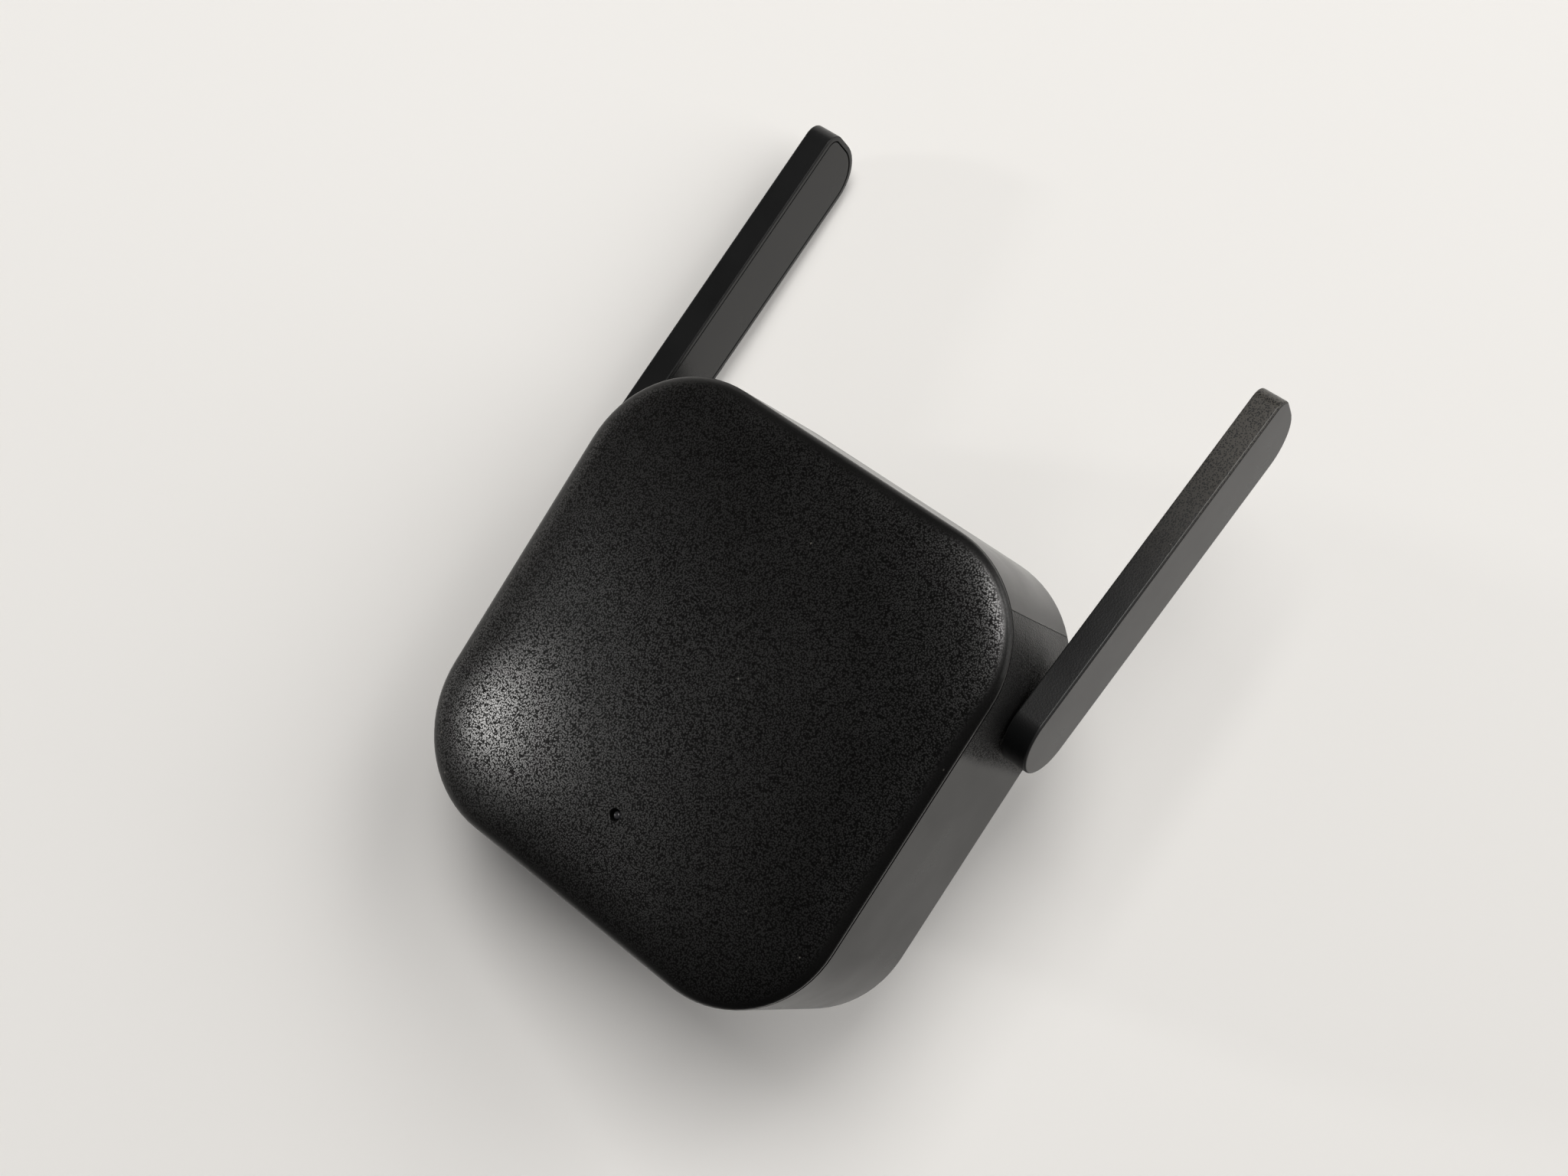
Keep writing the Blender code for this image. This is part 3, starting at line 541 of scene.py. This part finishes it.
def make_lens(material):
    """The clear light pipe, with a domed tip just inside its hole."""
    low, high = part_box("led_light_pipe")
    shoulder = COVER_RIM_Y - LENS_SHOULDER_DEPTH
    profile = [(high.y, LENS_RADIUS - LENS_CHAMFER), (high.y - LENS_CHAMFER, LENS_RADIUS),
               (shoulder, LENS_RADIUS), (shoulder, LENS_TIP_RADIUS)]
    profile += [(low.y + drop, LENS_TIP_RADIUS - inset)
                for inset, drop in reversed(rounded_edge(LENS_DOME_RADIUS, 6))]
    lens = add_mesh("indicator_lens", turned(profile, "Y", (0, LED_Z)), material, "case",
                    50)
    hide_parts("led_light_pipe")


def make_label(material):
    """The blank rating plate stuck to the rear wall under the plug."""
    outline = rounded_rectangle(PLATE_HALF_WIDTH, PLATE_HALF_HEIGHT, PLATE_CORNER_RADIUS)
    rings = []
    for inset, height in ((0, 0.02 * mm), (0, 0.1 * mm), (0.04 * mm, 0.12 * mm)):
        shrink = 1 - inset / PLATE_HALF_HEIGHT
        rings.append([on_axis("Y", REAR_Y + height, x * shrink, z * shrink + PLATE_Z)
                      for x, z in outline])
    add_mesh("rating_plate", loft(rings), material, "case")


# Materials

DUST_COLOUR = (0.20, 0.19, 0.17)


def put(tree, socket, value):
    """Set a socket to a value, or link it if the value is another node's output."""
    if isinstance(value, bpy.types.NodeSocket):
        tree.links.new(value, socket)
    else:
        socket.default_value = value


def new_finish(name):
    """A new material with its node tree and its shader."""
    made = bpy.data.materials.new(name)
    made.use_nodes = True
    return made, made.node_tree, made.node_tree.nodes["Principled BSDF"]


def local_place(tree, stretch=(1, 1, 1)):
    """Coordinates in the piece's own frame, stretched along each axis."""
    mapping = tree.nodes.new("ShaderNodeMapping")
    put(tree, mapping.inputs["Vector"], tree.nodes.new("ShaderNodeTexCoord").outputs["Object"])
    mapping.inputs["Scale"].default_value = stretch
    return mapping.outputs["Vector"]


def noise(tree, place, size, detail=2.0, output="Fac"):
    made = tree.nodes.new("ShaderNodeTexNoise")
    put(tree, made.inputs["Vector"], place)
    put(tree, made.inputs["Scale"], 1 / size)
    put(tree, made.inputs["Detail"], detail)
    return made.outputs[output]


def cells(tree, place, size, feature="SMOOTH_F1"):
    """Distance from the middle of the nearest cell, in cells."""
    made = tree.nodes.new("ShaderNodeTexVoronoi")
    made.feature = feature
    put(tree, made.inputs["Vector"], place)
    put(tree, made.inputs["Scale"], 1 / size)
    if feature == "SMOOTH_F1":
        put(tree, made.inputs["Smoothness"], 0.35)
    return made.outputs["Distance"]


def calculate(tree, operation, *values):
    made = tree.nodes.new("ShaderNodeMath")
    made.operation = operation
    for socket, value in zip(made.inputs, values):
        put(tree, socket, value)
    return made.outputs["Value"]


def warped(tree, place, size, amount):
    """Coordinates pushed about by a soft noise, so that a pattern looks natural."""
    push = tree.nodes.new("ShaderNodeVectorMath")
    push.operation = "MULTIPLY_ADD"
    put(tree, push.inputs[0], noise(tree, place, size, 1.0, "Color"))
    push.inputs[1].default_value = (amount, amount, amount)
    put(tree, push.inputs[2], place)
    return push.outputs["Vector"]


def remap(tree, value, low, high, to_low, to_high):
    """Change a value smoothly from one range to another, and hold it beyond the ends."""
    made = tree.nodes.new("ShaderNodeMapRange")
    made.interpolation_type = "SMOOTHSTEP"
    for name, number in (("From Min", low), ("From Max", high),
                         ("To Min", to_low), ("To Max", to_high)):
        made.inputs[name].default_value = number
    put(tree, made.inputs["Value"], value)
    return made.outputs["Result"]


def blend(tree, share, first, second):
    """Mix two colours by a share."""
    made = tree.nodes.new("ShaderNodeMix")
    made.data_type = "RGBA"
    put(tree, made.inputs["Factor"], share)
    for socket, colour in zip((made.inputs["A"], made.inputs["B"]), (first, second)):
        put(tree, socket, colour if isinstance(colour, bpy.types.NodeSocket) else (*colour, 1))
    return made.outputs["Result"]


def bump(tree, height, distance):
    made = tree.nodes.new("ShaderNodeBump")
    made.inputs["Distance"].default_value = distance
    put(tree, made.inputs["Height"], height)
    return made.outputs["Normal"]


def axis_value(tree, vector, axis):
    split = tree.nodes.new("ShaderNodeSeparateXYZ")
    put(tree, split.inputs["Vector"], vector)
    return split.outputs[axis]


def dusty(tree, place, amount, tint):
    """A tint with sparse pale specks of dust on it."""
    speck = remap(tree, cells(tree, warped(tree, place, 0.4 * mm, 0.2 * mm), 3.1 * mm, "F1"),
                  0.03, 0.055, 1, 0)
    patch = remap(tree, noise(tree, place, 9 * mm), 0.5, 0.62, 0, amount)
    return blend(tree, calculate(tree, "MULTIPLY", speck, patch), tint, DUST_COLOUR)


def cover_finish():
    """Near-black plastic with a fine leather grain, whose tops are polished and hollows are dull.

    The grain fades out on the cover's steep edge.
    """
    made, tree, shader = new_finish("cover_grain")
    shader.inputs["Specular IOR Level"].default_value = 0.42
    shader.inputs["Coat Roughness"].default_value = 0.22
    place = local_place(tree)
    bent = warped(tree, place, 0.5 * mm, 0.10 * mm)
    pebbles = calculate(tree, "SUBTRACT", 1.0, cells(tree, bent, 0.25 * mm))
    normal = tree.nodes.new("ShaderNodeNewGeometry").outputs["Normal"]
    facing = calculate(tree, "ABSOLUTE", axis_value(tree, normal, "Y"))
    flat = remap(tree, facing, 0.90, 0.975, 0.10, 1)
    relief = calculate(tree, "MULTIPLY", pebbles, flat)
    put(tree, shader.inputs["Normal"], bump(tree, relief, 0.022 * mm))
    tops = remap(tree, pebbles, 0.32, 0.76, 0, 1)
    polish = calculate(tree, "MULTIPLY_ADD", calculate(tree, "SUBTRACT", tops, 0.25), flat, 0.25)
    put(tree, shader.inputs["Coat Weight"], polish)
    shine = blend(tree, polish, (0.14, 0.14, 0.14), (1, 1, 1))
    put(tree, shader.inputs["Specular Tint"], shine)
    pebble_tint = blend(tree, polish, (0.0022, 0.0021, 0.0020), (0.0034, 0.0033, 0.0030))
    put(tree, shader.inputs["Base Color"], dusty(tree, place, 0.5, pebble_tint))
    cloud = noise(tree, place, 16 * mm, 3.0)
    put(tree, shader.inputs["Roughness"], remap(tree, cloud, 0.3, 0.7, 0.33, 0.39))
    return made


def housing_finish():
    """Satin black plastic, with a finely speckled band around the sides below the mould line.

    The plastic is smoother above the line, and the band grows duller towards the hinges.
    """
    made, tree, shader = new_finish("housing_satin")
    shader.inputs["Specular IOR Level"].default_value = 0.19
    place = local_place(tree)
    height = axis_value(tree, place, "Z")
    under_line = remap(tree, height, MOULD_LINE_Z - 0.05 * mm, MOULD_LINE_Z + 0.05 * mm, 1, 0)
    over_foot = remap(tree, height, SPECKLE_LOW_Z - 3 * mm, SPECKLE_LOW_Z, 0, 1)
    band = calculate(tree, "MULTIPLY", under_line, over_foot)
    grains = cells(tree, warped(tree, place, 0.5 * mm, 0.10 * mm), 0.26 * mm)
    speckle = calculate(tree, "MULTIPLY", grains, band)
    put(tree, shader.inputs["Normal"], bump(tree, speckle, 0.050 * mm))
    cloud = noise(tree, place, 12 * mm, 3.0)
    smooth_tint = blend(tree, cloud, (0.0050, 0.0050, 0.0050), (0.0075, 0.0073, 0.0070))
    dark_flecks = remap(tree, speckle, 0.30, 0.60, 0, 0.8)
    tint = blend(tree, dark_flecks, smooth_tint, (0.0008, 0.0008, 0.0010))
    put(tree, shader.inputs["Base Color"], dusty(tree, place, 0.4, tint))
    towards_hinge = remap(tree, height, MOULD_LINE_Z - 9 * mm, MOULD_LINE_Z, 1, 0)
    dull = calculate(tree, "MULTIPLY", speckle, towards_hinge)
    satin = remap(tree, cloud, 0.3, 0.7, 0.27, 0.33)
    roughness = calculate(tree, "MULTIPLY_ADD", dull, 0.70, satin)
    smoother_top = calculate(tree, "MULTIPLY_ADD", under_line, 0.09, -0.09)
    put(tree, shader.inputs["Roughness"], calculate(tree, "ADD", roughness, smoother_top))
    return made


def antenna_finish():
    """Satin black plastic: smooth on the broad faces, finely speckled on the narrow ones.

    The rounded edges are duller, and the right antenna's narrow face has a painted highlight: paler flecks that
    grow towards its tip.
    """
    made, tree, shader = new_finish("antenna_satin")
    shader.inputs["Specular IOR Level"].default_value = 0.42
    place = local_place(tree)
    surface = tree.nodes.new("ShaderNodeNewGeometry")
    sideways = calculate(tree, "ABSOLUTE", axis_value(tree, surface.outputs["Normal"], "X"))
    narrow = remap(tree, sideways, 0.75, 0.95, 1, 0)
    across = axis_value(tree, surface.outputs["Position"], "X")
    on_right = remap(tree, across, -1 * mm, 1 * mm, 0, 1)
    grains = cells(tree, warped(tree, place, 0.4 * mm, 0.10 * mm), 0.26 * mm)
    speckle = calculate(tree, "MULTIPLY", grains, narrow)
    put(tree, shader.inputs["Normal"], bump(tree, speckle, 0.007 * mm))
    cloud = noise(tree, place, 10 * mm, 3.0)
    tint = blend(tree, cloud, (0.0036, 0.0038, 0.0040), (0.0050, 0.0052, 0.0054))
    # Painted highlight: the right antenna's narrow face is painted paler in flecks towards its tip, standing in
    # for light falling there.
    towards_tip = remap(tree, axis_value(tree, place, "Z"), 16 * mm, 56 * mm, 0, 1)
    flecks = remap(tree, grains, 0.25, 0.55, 0, 1)
    painted_tip_highlight = calculate(tree, "MULTIPLY", calculate(tree, "MULTIPLY", towards_tip, flecks),
                     calculate(tree, "MULTIPLY", narrow, on_right))
    tint = blend(tree, painted_tip_highlight, tint, (0.056, 0.052, 0.046))
    put(tree, shader.inputs["Base Color"], dusty(tree, place, 0.3, tint))
    rounding = calculate(tree, "MULTIPLY", remap(tree, sideways, 0.15, 0.40, 0, 1),
                         remap(tree, sideways, 0.80, 0.97, 1, 0))
    satin = remap(tree, cloud, 0.3, 0.7, 0.27, 0.31)
    roughness = calculate(tree, "MULTIPLY_ADD", narrow, 0.03, satin)
    put(tree, shader.inputs["Roughness"],
        calculate(tree, "MULTIPLY_ADD", rounding, 0.35, roughness))
    return made


def moulded_finish(name, colour, roughness, grain=0.2 * mm, height=0.008 * mm):
    """A plain moulded or coated surface with slight clouding and a fine grain."""
    made, tree, shader = new_finish(name)
    place = local_place(tree)
    cloud = noise(tree, place, 4 * mm, 3.0)
    darker = tuple(0.86 * share for share in colour)
    put(tree, shader.inputs["Base Color"], blend(tree, cloud, darker, colour))
    put(tree, shader.inputs["Roughness"], remap(tree, cloud, 0.3, 0.7, roughness - 0.05,
                                                roughness + 0.05))
    put(tree, shader.inputs["Normal"], bump(tree, noise(tree, place, grain, 3.0), height))
    return made


def metal_finish(name, colour, roughness, stretch):
    """Plated or rolled metal with fine scratches along one direction."""
    made, tree, shader = new_finish(name)
    shader.inputs["Metallic"].default_value = 1
    scratches = noise(tree, local_place(tree, stretch), 0.5 * mm, 5.0)
    place = local_place(tree)
    stain = noise(tree, place, 3 * mm, 3.0)
    darker = tuple(0.82 * share for share in colour)
    put(tree, shader.inputs["Base Color"], blend(tree, stain, darker, colour))
    put(tree, shader.inputs["Roughness"], remap(tree, scratches, 0.3, 0.7, roughness - 0.07,
                                                roughness + 0.10))
    put(tree, shader.inputs["Normal"], bump(tree, scratches, 0.006 * mm))
    return made


def board_finish():
    """Green solder mask over copper tracks, with tinned pads."""
    made, tree, shader = new_finish("board_mask")
    place = local_place(tree, (1, 0, 1))
    tracks = remap(tree, cells(tree, place, 2.2 * mm, "F1"), 0.50, 0.56, 0, 1)
    pads = remap(tree, cells(tree, place, 3.4 * mm, "F1"), 0.12, 0.15, 1, 0)
    mask = blend(tree, tracks, (0.012, 0.13, 0.05), (0.02, 0.20, 0.085))
    put(tree, shader.inputs["Base Color"], blend(tree, pads, mask, (0.62, 0.62, 0.60)))
    put(tree, shader.inputs["Roughness"], remap(tree, pads, 0, 1, 0.42, 0.28))
    put(tree, shader.inputs["Normal"], bump(tree, tracks, 0.03 * mm))
    return made


def lens_finish():
    """Smoke-tinted acrylic with a trace of haze."""
    made, tree, shader = new_finish("indicator_smoke")
    shader.inputs["Base Color"].default_value = (0.05, 0.05, 0.055, 1)
    shader.inputs["Transmission Weight"].default_value = 0.3
    haze = noise(tree, local_place(tree), 0.3 * mm, 2.0)
    put(tree, shader.inputs["Roughness"], remap(tree, haze, 0.3, 0.7, 0.15, 0.22))
    return made


def inner_finishes():
    """Finishes for the frame's own pieces, by the record's material slot."""
    return {
        "antenna_plastic": moulded_finish("pivot_plastic", (0.016, 0.017, 0.018), 0.40),
        "inner_plastic": moulded_finish("carrier_plastic", (0.60, 0.60, 0.58), 0.55),
        "led_body": moulded_finish("led_package", (0.90, 0.90, 0.85), 0.35),
        "board_green": board_finish(),
        "chip_black": moulded_finish("chip_epoxy", (0.02, 0.02, 0.02), 0.50, 0.1 * mm),
        "ferrite": moulded_finish("ferrite_ceramic", (0.06, 0.06, 0.07), 0.60, 0.3 * mm),
        "winding_tape": moulded_finish("winding_tape_yellow", (0.75, 0.55, 0.08), 0.45),
        "capacitor_sleeve": moulded_finish("capacitor_sleeve_blue", (0.03, 0.05, 0.14), 0.35),
        "capacitor_blue": moulded_finish("capacitor_lacquer", (0.05, 0.18, 0.45), 0.35),
        "spring_metal": metal_finish("spring_sheet", (0.72, 0.45, 0.25), 0.30, (1, 8, 1)),
        "plug_metal": metal_finish("socket_plating", (0.74, 0.71, 0.65), 0.25, (1, 8, 8)),
        "shield_metal": metal_finish("tinned_sheet", (0.70, 0.71, 0.72), 0.35, (8, 1, 1)),
        "screw_steel": metal_finish("zinc_plate", (0.55, 0.55, 0.56), 0.35, (1, 1, 1)),
        "lead_jacket": moulded_finish("lead_jacket_black", (0.03, 0.03, 0.03), 0.50),
        "washer_nylon": moulded_finish("nylon_natural", (0.80, 0.79, 0.74), 0.50),
    }


def dress_frame():
    """Give each of the frame's own pieces that still shows its finish."""
    finishes = inner_finishes()
    slots = {part["node"]: part["material_slot"] for part in frame["record"]["subparts"]}
    for name, node in frame["nodes"].items():
        if slots[name] in finishes:
            node.data.materials.clear()
            node.data.materials.append(finishes[slots[name]])


# Table, light and camera

CAMERA_PLACE = Vector((144.8, -322.0, 47.5)) * mm
CAMERA_TARGET = Vector((-9.3, -4.9, 15.0)) * mm
CAMERA_ROLL = 32.15             # degrees, anticlockwise
CAMERA_LENS = 53.7              # millimetres, on a 36 mm sensor
TABLE_UP = Vector((0.5145, -0.8574, 0.0133)).normalized()
WARM_WHITE = (1.0, 0.985, 0.96)
WHITE = (1, 1, 1)
TABLE_HALF_SIZE = 2.5
TABLE_ROUGHNESS = 0.55
ROOM_COLOUR = (0.045, 0.045, 0.047, 1)
BACKDROP_COLOUR = (0.72, 0.71, 0.69, 1)

# Name, direction (right, up, towards the camera), distance, size (both in metres), watts, colour
LIGHTS = (
    ("key", (-0.03, 0.45, 0.85), 3.4, 1.40, 68, WARM_WHITE),
    ("side", (0.82, 0.30, 0.49), 3.4, 4.00, 93, WARM_WHITE),
    ("upper_right", (0.42, 0.46, 0.63), 2.4, 0.90, 9, WARM_WHITE),
    ("sheen", (-0.915, 0.17, 0.375), 1.5, 0.12, 2.5, WARM_WHITE),
    ("under", (-0.30, 0.20, -0.80), 1.5, 1.00, 4, WHITE),
)


def make_camera():
    camera = bpy.data.objects.new("camera", bpy.data.cameras.new("camera"))
    bpy.context.scene.collection.objects.link(camera)
    camera.data.lens = CAMERA_LENS
    camera.data.sensor_width = 36
    camera.data.clip_start = 0.01
    camera.data.clip_end = 20
    camera.rotation_mode = "QUATERNION"
    look = (CAMERA_TARGET - CAMERA_PLACE).to_track_quat("-Z", "Y")
    camera.rotation_quaternion = look @ Quaternion((0, 0, 1), math.radians(CAMERA_ROLL))
    camera.location = CAMERA_PLACE
    bpy.context.scene.camera = camera
    return camera.rotation_quaternion.to_matrix()


def table_height():
    """How far along the table's normal the lowest point of the object lies."""
    lowest = 1.0
    for node in frame["nodes"].values():
        for vertex in node.data.vertices:
            lowest = min(lowest, vertex.co.dot(TABLE_UP))
    return lowest


def make_table():
    """A large pale table top, seen from above only, that light from beneath passes through."""
    made, tree, shader = new_finish("table_white")
    place = local_place(tree)
    cloud = noise(tree, place, 120 * mm, 2.0)
    put(tree, shader.inputs["Base Color"],
        blend(tree, cloud, (0.91, 0.895, 0.872), (0.93, 0.917, 0.900)))
    shader.inputs["Roughness"].default_value = TABLE_ROUGHNESS
    from_beneath = tree.nodes.new("ShaderNodeNewGeometry").outputs["Backfacing"]
    shadow = tree.nodes.new("ShaderNodeLightPath").outputs["Is Shadow Ray"]
    hidden = calculate(tree, "MAXIMUM", from_beneath, shadow)
    clear = tree.nodes.new("ShaderNodeBsdfTransparent")
    mix = tree.nodes.new("ShaderNodeMixShader")
    put(tree, mix.inputs["Fac"], hidden)
    put(tree, mix.inputs[1], shader.outputs["BSDF"])
    put(tree, mix.inputs[2], clear.outputs["BSDF"])
    put(tree, tree.nodes["Material Output"].inputs["Surface"], mix.outputs["Shader"])
    bm = bmesh.new()
    bmesh.ops.create_grid(bm, x_segments=8, y_segments=8, size=TABLE_HALF_SIZE)
    table = add_mesh("table", bm, made)
    table.rotation_mode = "QUATERNION"
    table.rotation_quaternion = TABLE_UP.to_track_quat("Z", "Y")
    table.location = TABLE_UP * table_height()


def add_light(axes, name, direction, distance, size, power, colour):
    """A soft square light, in a direction given as right, up and towards the camera."""
    light = bpy.data.lights.new(name, "AREA")
    light.size = size
    light.energy = power
    light.color = colour
    lamp = bpy.data.objects.new(name, light)
    bpy.context.scene.collection.objects.link(lamp)
    lamp.location = CAMERA_TARGET + axes @ Vector(direction).normalized() * distance
    lamp.rotation_mode = "QUATERNION"
    lamp.rotation_quaternion = (CAMERA_TARGET - lamp.location).to_track_quat("-Z", "Y")


def make_lights(axes):
    """A soft key light, a broad one at the right, and small ones that draw the sheen."""
    for light in LIGHTS:
        add_light(axes, *light)


def make_room():
    """A dim room for the reflections, behind a pale backdrop that only the camera sees."""
    world = bpy.data.worlds.new("room")
    world.use_nodes = True
    tree = world.node_tree
    dim = tree.nodes["Background"]
    dim.inputs["Color"].default_value = ROOM_COLOUR
    pale = tree.nodes.new("ShaderNodeBackground")
    pale.inputs["Color"].default_value = BACKDROP_COLOUR
    mix = tree.nodes.new("ShaderNodeMixShader")
    put(tree, mix.inputs["Fac"], tree.nodes.new("ShaderNodeLightPath").outputs["Is Camera Ray"])
    put(tree, mix.inputs[1], dim.outputs["Background"])
    put(tree, mix.inputs[2], pale.outputs["Background"])
    put(tree, tree.nodes["World Output"].inputs["Surface"], mix.outputs["Shader"])
    bpy.context.scene.world = world


camera_axes = make_camera()
make_cover(cover_finish())
make_housing(housing_finish())
antenna_material = antenna_finish()
for antenna_side in SIDES:
    make_antenna(antenna_side, antenna_material)
plating = metal_finish("blade_plating", (0.74, 0.71, 0.65), 0.25, (8, 1, 8))
for blade_side in SIDES:
    make_blade(blade_side, plating)
make_lens(lens_finish())
make_label(moulded_finish("plate_film", (0.035, 0.035, 0.036), 0.45))
dress_frame()
make_table()
make_lights(camera_axes)
make_room()
bpy.context.scene.view_settings.view_transform = "Standard"

bpy.context.view_layer.update()
